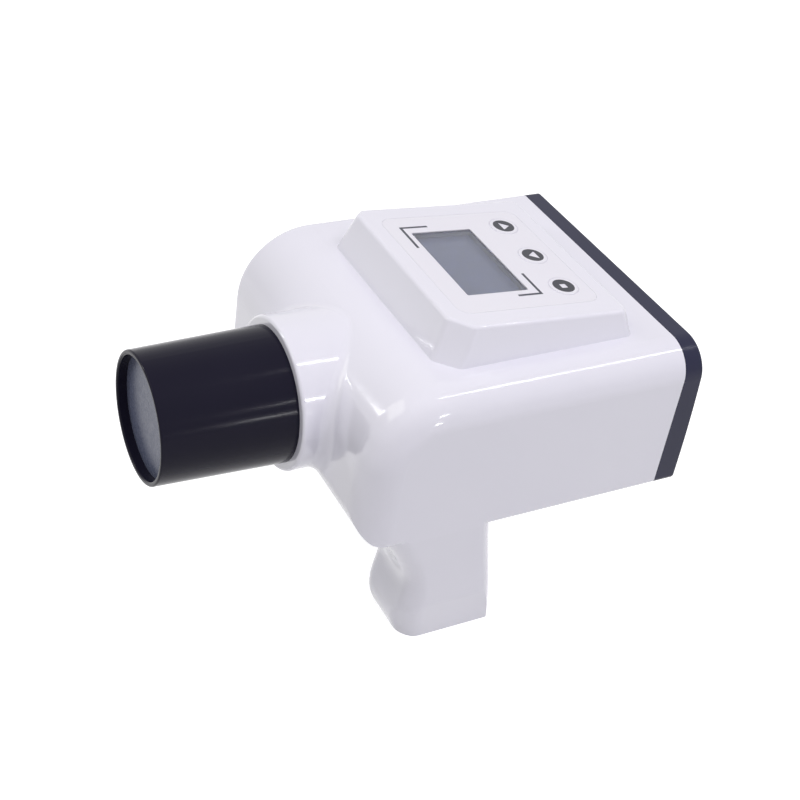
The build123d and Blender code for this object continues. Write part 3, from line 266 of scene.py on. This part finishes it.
# Materials
shell = plastic("shell", (0.775, 0.768, 0.855), (0.79, 0.783, 0.865), (0.10, 0.15),
                coat=0.5, grain=500.0, depth=0.00001)
film = plastic("film", (0.785, 0.775, 0.845), (0.80, 0.79, 0.855), (0.28, 0.38),
               grain=1600.0, depth=0.00001)
cover = plastic("cover", (0.022, 0.023, 0.054), (0.027, 0.028, 0.060), (0.18, 0.26), ior=1.42, shine=0.25)
cone = plastic("cone", (0.009, 0.008, 0.019), (0.011, 0.010, 0.022), (0.12, 0.18),
               grain=700.0, depth=0.00001, ior=1.36, shine=0.15)
slate = plastic("slate", (0.100, 0.112, 0.170), (0.104, 0.116, 0.175), (0.22, 0.32),
                grain=500.0, depth=0.00001, ior=1.4, shine=0.15)
key_up_mat = printed_key("key_up_print", -KEY_PITCH)
key_down_mat = printed_key("key_down_print", 0.0)
key_select_mat = printed_key("key_select_print", KEY_PITCH)
ink = plastic("ink", (0.045, 0.047, 0.070), (0.055, 0.057, 0.080), (0.35, 0.45), grain=1500.0)
# The gasket's dark colour is partly a real gasket and partly painted shade in the display's recess
gasket_shade = plastic("gasket_shade", (0.15, 0.16, 0.23), (0.17, 0.18, 0.25), (0.5, 0.6), grain=1500.0)
seal = plastic("seal", (0.70, 0.69, 0.76), (0.74, 0.73, 0.80), (0.5, 0.6), grain=1500.0)
black = plastic("black", (0.016, 0.016, 0.019), (0.022, 0.022, 0.026), (0.30, 0.42), grain=1200.0)
screen = plastic("screen", (0.095, 0.108, 0.190), (0.103, 0.117, 0.200), (0.14, 0.20),
                 grain=2500.0, depth=0.000008, shine=0.3)
cradle = plastic("cradle", (0.62, 0.61, 0.55), (0.66, 0.65, 0.59), (0.45, 0.55))
potting = plastic("potting", (0.02, 0.04, 0.09), (0.03, 0.055, 0.12), (0.22, 0.38))
sleeve_blue = plastic("sleeve_blue", (0.02, 0.04, 0.15), (0.025, 0.05, 0.18), (0.2, 0.3))
ring_red = plastic("ring_red", (0.30, 0.06, 0.05), (0.35, 0.08, 0.06), (0.55, 0.65))
foam = plastic("foam", (0.05, 0.05, 0.055), (0.09, 0.09, 0.095), (0.85, 0.95), grain=1800.0, depth=0.0002)
liner_mat = plastic("liner", (0.11, 0.115, 0.13), (0.14, 0.145, 0.16), (0.5, 0.65),
                    grain=600.0, depth=0.00004)
steel = metal("steel", (0.50, 0.51, 0.53), (0.62, 0.63, 0.65), (0.25, 0.40))
brass = metal("brass", (0.60, 0.43, 0.17), (0.70, 0.52, 0.22), (0.22, 0.35))
copper = metal("copper", (0.62, 0.26, 0.13), (0.70, 0.32, 0.17), (0.22, 0.35))
cast = metal("cast", (0.50, 0.51, 0.52), (0.58, 0.59, 0.60), (0.45, 0.60), scale=300.0)
rolled = metal("rolled", (0.66, 0.67, 0.69), (0.74, 0.75, 0.77), (0.25, 0.35),
               brushed=(1, 1, 8), scale=300.0)
lead = metal("lead", (0.20, 0.21, 0.24), (0.27, 0.28, 0.31), (0.50, 0.65))
foil = metal("foil", (0.62, 0.63, 0.65), (0.70, 0.71, 0.73), (0.28, 0.42),
             brushed=(1, 1, 6), scale=150.0)
window = clear("window", (0.90, 0.92, 0.97))
bulb = clear("bulb", (0.88, 0.95, 0.94))
green = board("green")

USES = {
    "front_housing": shell, "battery_door": shell, "rear_cover": cover, "panel_overlay": film,
    "display_window": window, "display_panel": screen, "key_up": key_up_mat,
    "key_down": key_down_mat, "key_select": key_select_mat, "cone_tube": cone,
    "cone_end_plate": slate, "cone_liner": liner_mat, "switch_body": black, "power_rocker": black,
    "charge_socket": black, "buzzer": black, "key_switches": black, "cover_screws": steel,
    "board_screws": steel, "ear_screws": steel, "control_screws": steel, "door_screws": steel,
    "board_spacers": brass, "switch_terminals": brass, "charge_contact": brass, "anode": copper,
    "cathode": steel, "tube_head_case": cast, "tube_head_lid": cast, "beam_filter": rolled,
    "collimator_ring": lead, "lead_sleeve": lead, "tube_glass": bulb, "tube_rings": ring_red,
    "tube_cradles": cradle, "high_voltage_block": potting, "capacitors": sleeve_blue,
    "battery_pad": foam, "battery_cells": foil, "display_board": green, "keypad_board": green,
    "control_board": green, "battery_board": green,
}
for node_name, material in USES.items():
    node_mesh = nodes[node_name].data
    node_mesh.materials.clear()
    node_mesh.materials.append(material)

# Printed angle marks beside the display, in millimetres on the panel
MARK_WIDTH = 1.45
MARK_LOW = 0.005
MARK_HIGH = 0.03


def angle_mark(name, corner_x, corner_v, arm_x, arm_v):
    """Printed angle mark whose two arms run from its corner, riding on the housing."""
    side_x = math.copysign(MARK_WIDTH, arm_x)
    side_v = math.copysign(MARK_WIDTH, arm_v)
    points = [(0, 0), (arm_x, 0), (arm_x, side_v), (side_x, side_v), (side_x, arm_v), (0, arm_v)]
    outline = [(corner_x + x, corner_v + v) for x, v in points]
    if arm_x * arm_v < 0:
        outline.reverse()
    count = len(outline)
    verts = [panel_point(x, v, height) for height in (MARK_LOW, MARK_HIGH) for x, v in outline]
    faces = [tuple(reversed(range(count))), tuple(range(count, 2 * count))]
    faces += [(i, (i + 1) % count, count + (i + 1) % count, count + i) for i in range(count)]
    piece = mesh_object(name, verts, faces, ink)
    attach(piece, "housing")


angle_mark("bracket_front", -35.1, -32.5, 20.0, 16.0)
angle_mark("bracket_rear", 34.1, 11.7, -19.0, -14.0)

# Dark gasket that lines the display's opening; its dark colour is painted shade on the recess walls, in
# millimetres on the panel
DISPLAY_V = -11.2
GASKET_HALF_WIDTH = 29.28
GASKET_HALF_LENGTH = 17.28
GASKET_WALL = 0.3
GASKET_HEIGHTS = (-3.98, -1.53)


def gasket_ring():
    """Vertices and faces of the rectangular ring."""
    outer = [(-GASKET_HALF_WIDTH, -GASKET_HALF_LENGTH), (GASKET_HALF_WIDTH, -GASKET_HALF_LENGTH),
             (GASKET_HALF_WIDTH, GASKET_HALF_LENGTH), (-GASKET_HALF_WIDTH, GASKET_HALF_LENGTH)]
    inner = [(x - math.copysign(GASKET_WALL, x), v - math.copysign(GASKET_WALL, v)) for x, v in outer]
    verts = [panel_point(x, v + DISPLAY_V, height)
             for height in GASKET_HEIGHTS for ring in (outer, inner) for x, v in ring]
    faces = []
    for i in range(4):
        j = (i + 1) % 4
        faces += [(j, i, 4 + i, 4 + j), (8 + i, 8 + j, 12 + j, 12 + i), (i, j, 8 + j, 8 + i),
                  (4 + j, 4 + i, 12 + i, 12 + j)]
    return verts, faces


# Dark lining whose colour paints the shade on the display recess's walls
gasket_piece = mesh_object("display_gasket_shade", *gasket_ring(), gasket_shade)
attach(gasket_piece, "housing")

# Thin lips round the keys, in millimetres on the panel
SEAL_RADII = (7.88, 7.54)
SEAL_HEIGHTS = (-0.45, -0.15)
SEAL_POINTS = 64


def seal_ring(name, x):
    """Flat lip that closes the gap round a key, just under the film."""
    verts = []
    for height in SEAL_HEIGHTS:
        for radius in SEAL_RADII:
            for i in range(SEAL_POINTS):
                turn = 2 * math.pi * i / SEAL_POINTS
                across, upward = radius * math.cos(turn), radius * math.sin(turn)
                verts.append(panel_point(x + across, KEY_V + upward, height))
    faces = []
    for i in range(SEAL_POINTS):
        j = (i + 1) % SEAL_POINTS
        for low, high in ((1, 0), (0, 2), (2, 3), (3, 1)):
            start, end = low * SEAL_POINTS, high * SEAL_POINTS
            faces.append((start + j, start + i, end + i, end + j))
    piece = mesh_object(name, verts, faces, seal)
    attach(piece, "housing")


seal_ring("seal_up", -KEY_PITCH)
seal_ring("seal_down", 0.0)
seal_ring("seal_select", KEY_PITCH)

# Housing with the photograph's softer grip: the same mesh, cut finer and eased near the grip's front.
# GRIP_FRONT has pairs of height and y. NEAR_FOOT is the near face's x at the foot, NEAR_TOP further up.
# The FOOT box holds the corner that is rounded, and the EASE box the crease that is smoothed.
GRIP_FRONT = ((0.000, -0.0135), (0.020, -0.0174), (0.036, -0.0164), (0.060, -0.0255))
NEAR_FOOT = 0.0744
NEAR_TOP = 0.0785
FACET_TOP = 0.026
CORNER = 0.0118
CORNER_BLEND = 0.55
CORNER_TOP = 0.034
CORNER_FADE = 0.012
FOOT_LOW = (0.0590, -0.0200, -0.0010)
FOOT_HIGH = (0.0800, 0.0000, 0.0340)
FOOT_STEP = 0.0016
FOOT_SLACK = 0.0005
EASE_LOW = (0.0480, -0.0420, 0.0280)
EASE_HIGH = (0.0830, -0.0040, 0.0730)
EASE_STEP = 0.0022
EASE_MARGIN = 0.010
EASE_ROUNDS = 45
EASE_PULL = 0.5
FRONT_FACING = 0.1
SAME_PLACE = 1e-6


def along_line(table, height):
    """Value at a height, read from pairs of height and value."""
    for (low, first), (high, second) in zip(table, table[1:]):
        if height <= high:
            return first + (second - first) * max(0.0, height - low) / (high - low)
    return table[-1][1]


def eased_corner(point):
    """Point moved onto the round corner between the grip's near face and its front."""
    near = NEAR_FOOT + (NEAR_TOP - NEAR_FOOT) * min(1.0, point.z / FACET_TOP)
    middle = Vector((near - CORNER, along_line(GRIP_FRONT, point.z) + CORNER))
    offset = Vector((point.x, point.y)) - middle
    if offset.x <= 0 or offset.y >= 0 or offset.length <= CORNER:
        return point.copy()
    reach = min(1.0, offset.x / (CORNER_BLEND * CORNER))
    share = reach * reach * (3.0 - 2.0 * reach) * clamp((CORNER_TOP - point.z) / CORNER_FADE)
    round_spot = middle + offset * (CORNER / offset.length)
    return point.lerp(Vector((round_spot.x, round_spot.y, point.z)), share)


def depth_inside(point, low, high):
    """Least distance from a point to the faces of a box, negative outside it."""
    return min(min(point[i] - low[i], high[i] - point[i]) for i in range(3))


def cut_finer(mesh, low, high, step):
    """Cut the faces that reach into a box along planes at the given step."""
    faces = [f for f in mesh.faces
             if all(min(v.co[i] for v in f.verts) < high[i] and max(v.co[i] for v in f.verts) > low[i]
                    for i in range(3))]
    pieces = list({item for f in faces for item in (f, *f.edges, *f.verts)})
    for axis in range(3):
        normal = [0.0, 0.0, 0.0]
        normal[axis] = 1.0
        place = low[axis] + step
        while place < high[axis]:
            spot = [0.0, 0.0, 0.0]
            spot[axis] = place
            cut = bmesh.ops.bisect_plane(mesh, geom=pieces, dist=1e-7, plane_co=spot, plane_no=normal)
            pieces = cut["geom"]
            place += step
    bmesh.ops.triangulate(mesh, faces=[f for f in mesh.faces if len(f.verts) > 3])


def ease_crease(mesh, moved):
    """Smooth the outer skin where the grip meets the nose, less towards the region's faces."""
    easing = {}
    for vertex in mesh.verts:
        inner = depth_inside(vertex.co, EASE_LOW, EASE_HIGH)
        if inner > 0 and vertex.normal.x - vertex.normal.y > FRONT_FACING:
            easing[vertex] = min(1.0, inner / EASE_MARGIN)
            vertex[moved] = easing[vertex]
    for _ in range(EASE_ROUNDS):
        goals = {}
        for vertex, weight in easing.items():
            around = [edge.other_vert(vertex).co for edge in vertex.link_edges]
            goals[vertex] = vertex.co.lerp(sum(around, Vector()) / len(around), EASE_PULL * weight)
        for vertex, goal in goals.items():
            vertex.co = goal


def round_foot_corner(mesh, moved):
    """Round the grip's front near corner down to the foot."""
    for vertex in mesh.verts:
        if depth_inside(vertex.co, FOOT_LOW, FOOT_HIGH) > -FOOT_SLACK:
            goal = eased_corner(vertex.co)
            if (goal - vertex.co).length > SAME_PLACE:
                vertex.co = goal
                vertex[moved] = 1.0


def mix_normals(mesh):
    """Smooth normals where vertices moved, and the solid's own ones elsewhere."""
    weights = mesh.attributes["ease"].data
    kept = mesh.attributes["cad_normal"].data
    smooth = mesh.vertex_normals
    mixed = []
    for index, loop in enumerate(mesh.loops):
        weight = weights[loop.vertex_index].value
        own = Vector(kept[index].vector)
        mixed.append(own.lerp(smooth[loop.vertex_index].vector, weight).normalized())
    mesh.normals_split_custom_set(mixed)


housing_mesh = nodes["front_housing"].data.copy()
housing_mesh.name = "housing_eased"
cad_normals = housing_mesh.attributes.new("cad_normal", "FLOAT_VECTOR", "CORNER")
for corner_index, corner_normal in enumerate(housing_mesh.corner_normals):
    cad_normals.data[corner_index].vector = corner_normal.vector
work = bmesh.new()
work.from_mesh(housing_mesh)
bmesh.ops.remove_doubles(work, verts=work.verts, dist=SAME_PLACE)
cut_finer(work, FOOT_LOW, FOOT_HIGH, FOOT_STEP)
cut_finer(work, EASE_LOW, EASE_HIGH, EASE_STEP)
work.normal_update()
ease_layer = work.verts.layers.float.new("ease")
ease_crease(work, ease_layer)
round_foot_corner(work, ease_layer)
work.to_mesh(housing_mesh)
work.free()
mix_normals(housing_mesh)
housing_piece = add_object("housing_eased", housing_mesh)
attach(housing_piece, "housing")
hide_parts("front_housing")

# Rear cover with the photograph's flatter back and crisper rear edge: the same mesh, its back moved out.
# BACK_Y is the back's rearmost line, at height BOW_Z. SEAT_Y is where the cover meets the housing.
cover_low, cover_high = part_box("rear_cover")
BACK_Y = cover_high.y
HALF_WIDTH = cover_high.x
HALF_HEIGHT = (cover_high.z - cover_low.z) / 2
MIDDLE_Z = (cover_high.z + cover_low.z) / 2
BOW_Z = 0.088
CAD_BOW = 0.445
PHOTO_BOW = 0.820
CAD_EDGE = 0.0032
PHOTO_EDGE = 0.0011
SEAT_Y = 0.123
NEAR_TOP_RADIUS = 0.017
SIDE_RADIUS = 0.0036
LEAST_REACH = 0.0003
EDGE_BAND = 0.00025
SIDE_SLACK = 0.0002
BACK_SLACK = 0.0003


def from_side(x, z):
    """Depth of a point below the cover's side outline, and the outward direction there."""
    radius = NEAR_TOP_RADIUS if x > 0 and z > MIDDLE_Z else SIDE_RADIUS
    across = abs(x) - HALF_WIDTH + radius
    upward = abs(z - MIDDLE_Z) - HALF_HEIGHT + radius
    way = Vector((max(across, 0.0), max(upward, 0.0)))
    if way.length == 0.0:
        way = Vector((1.0, 0.0)) if across > upward else Vector((0.0, 1.0))
        depth = radius - max(across, upward)
    else:
        depth = radius - way.length
    way.normalize()
    return depth, Vector((math.copysign(way.x, x), math.copysign(way.y, z - MIDDLE_Z)))


def drop(radius, z):
    """How far a bowed back of this radius lies in front of its rearmost line."""
    return radius - math.sqrt(radius ** 2 - (z - BOW_Z) ** 2)


def is_on_edge(side_depth, back_depth):
    """Whether a point at these depths lies on the solid's rounded rear edge."""
    from_middle = math.hypot(CAD_EDGE - side_depth, CAD_EDGE - back_depth)
    return (abs(from_middle - CAD_EDGE) < EDGE_BAND
            and -SIDE_SLACK < side_depth < CAD_EDGE + SIDE_SLACK
            and -BACK_SLACK < back_depth < CAD_EDGE + BACK_SLACK)


cover_mesh = nodes["rear_cover"].data.copy()
cover_mesh.name = "cover_back"
EDGE_SPARE = 1.0 - PHOTO_EDGE / CAD_EDGE
for vertex in cover_mesh.vertices:
    cad_drop = drop(CAD_BOW, vertex.co.z)
    side_depth, outward = from_side(vertex.co.x, vertex.co.z)
    back_depth = BACK_Y - cad_drop - vertex.co.y
    share = clamp((vertex.co.y - SEAT_Y) / max(LEAST_REACH, BACK_Y - cad_drop - CAD_EDGE - SEAT_Y))
    vertex.co.y += share * (cad_drop - drop(PHOTO_BOW, vertex.co.z))
    if is_on_edge(side_depth, back_depth):
        vertex.co.x += outward.x * side_depth * EDGE_SPARE
        vertex.co.z += outward.y * side_depth * EDGE_SPARE
        vertex.co.y += max(0.0, back_depth) * EDGE_SPARE
cover_piece = add_object("cover_back", cover_mesh)
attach(cover_piece, "housing")
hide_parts("rear_cover")

# Floor and backdrop: white to the camera and in reflections, plain to the light
FLOOR_HALF = 4.0
FLOOR_GLOW = 0.80
WORLD_LIGHT = 0.325
WHITE = (1, 1, 1, 1)


def seen_directly(tree):
    """One for camera, glossy and transmission rays, and none for diffuse ones."""
    path = tree.nodes.new("ShaderNodeLightPath")
    first = combine(tree, "MAXIMUM", path.outputs["Is Camera Ray"], path.outputs["Is Glossy Ray"])
    return combine(tree, "MAXIMUM", first, path.outputs["Is Transmission Ray"])


floor_mat, floor_tree, floor_shader = new_material("floor")
floor_noise = object_noise(floor_tree, 6.0)
floor_colour = two_colours(floor_tree, floor_noise.outputs[0], (0.60, 0.60, 0.61), (0.63, 0.63, 0.64))
floor_tree.links.new(floor_colour, floor_shader.inputs["Base Color"])
floor_shader.inputs["Roughness"].default_value = 0.9
floor_shader.inputs["Specular IOR Level"].default_value = 0.0
floor_shader.inputs["Emission Color"].default_value = WHITE
floor_glow = floor_tree.nodes.new("ShaderNodeMath")
floor_glow.operation = "MULTIPLY"
floor_glow.inputs[1].default_value = FLOOR_GLOW
floor_tree.links.new(seen_directly(floor_tree), floor_glow.inputs[0])
floor_tree.links.new(floor_glow.outputs[0], floor_shader.inputs["Emission Strength"])
floor_corners = [(-FLOOR_HALF, -FLOOR_HALF, 0), (FLOOR_HALF, -FLOOR_HALF, 0),
                 (FLOOR_HALF, FLOOR_HALF, 0), (-FLOOR_HALF, FLOOR_HALF, 0)]
floor = mesh_object("floor", floor_corners, [(0, 1, 2, 3)], floor_mat)

world = bpy.data.worlds.new("world")
bpy.context.scene.world = world
world.use_nodes = True
world_tree = world.node_tree
backdrop = world_tree.nodes["Background"]
backdrop.inputs[0].default_value = WHITE
strength = remap(world_tree, seen_directly(world_tree), WORLD_LIGHT, 1.0, 0.0, 1.0)
world_tree.links.new(strength, backdrop.inputs[1])

# Lamps, all aimed at the middle of the unit
AIM = Vector((0.0, 0.0, 0.12))


def lamp(name, azimuth, elevation, distance, size, power, colour=(1.0, 1.0, 1.0), lengthwise=False):
    """Rectangular soft lamp at an azimuth and elevation, in degrees; a lengthwise one lies along Y."""
    turn = math.radians(azimuth)
    rise = math.radians(elevation)
    way = Vector((math.sin(turn) * math.cos(rise), -math.cos(turn) * math.cos(rise), math.sin(rise)))
    data = bpy.data.lights.new(name, "AREA")
    data.shape = "RECTANGLE"
    data.size, data.size_y = size
    data.energy = power
    data.color = colour
    item = add_object(name, data)
    item.location = AIM + way * distance
    item.rotation_euler = (-way).to_track_quat("-Z", "Y").to_euler()
    if lengthwise:
        long_side = Vector((0.0, 1.0, 0.0)) - way * way.y
        long_side.normalize()
        item.rotation_euler = Matrix((long_side, way.cross(long_side), way)).transposed().to_euler()
    return item


overhead = lamp("overhead", 86, 71, 1.6, (1.4, 1.2), 15.0, (0.985, 0.950, 1.0))
overhead.visible_glossy = False
lamp("front_top", -20, 48, 1.8, (1.2, 0.8), 4.4, (1.0, 1.0, 0.86))
lamp("top_strip", 152, 56, 1.2, (0.60, 0.015), 1.2, lengthwise=True)
lamp("front_window", -40, 26, 1.3, (0.12, 0.22), 2.0)
lamp("side_low", 105, 3, 1.2, (0.10, 0.025), 0.6)
lamp("side_high", 109, 20, 1.2, (0.14, 0.025), 0.6)

# Camera at the photograph's viewpoint: its place, and its directions to the right and to the back
CAMERA_PLACE = (0.5107, -0.3202, 0.5400)
CAMERA_RIGHT = (0.452, 0.8817, 0.1336)
CAMERA_BACK = (0.6785, -0.4376, 0.5903)

back = Vector(CAMERA_BACK).normalized()
up = back.cross(Vector(CAMERA_RIGHT).normalized()).normalized()
right = up.cross(back).normalized()
camera_data = bpy.data.cameras.new("camera")
camera_data.sensor_width = 36.0
camera_data.lens = 65.88
camera_data.clip_start = 0.05
camera_data.clip_end = 20.0
camera = add_object("camera", camera_data)
camera.matrix_world = Matrix.Translation(CAMERA_PLACE) @ Matrix((right, up, back)).transposed().to_4x4()
bpy.context.scene.camera = camera

bpy.context.scene.view_settings.view_transform = "Standard"
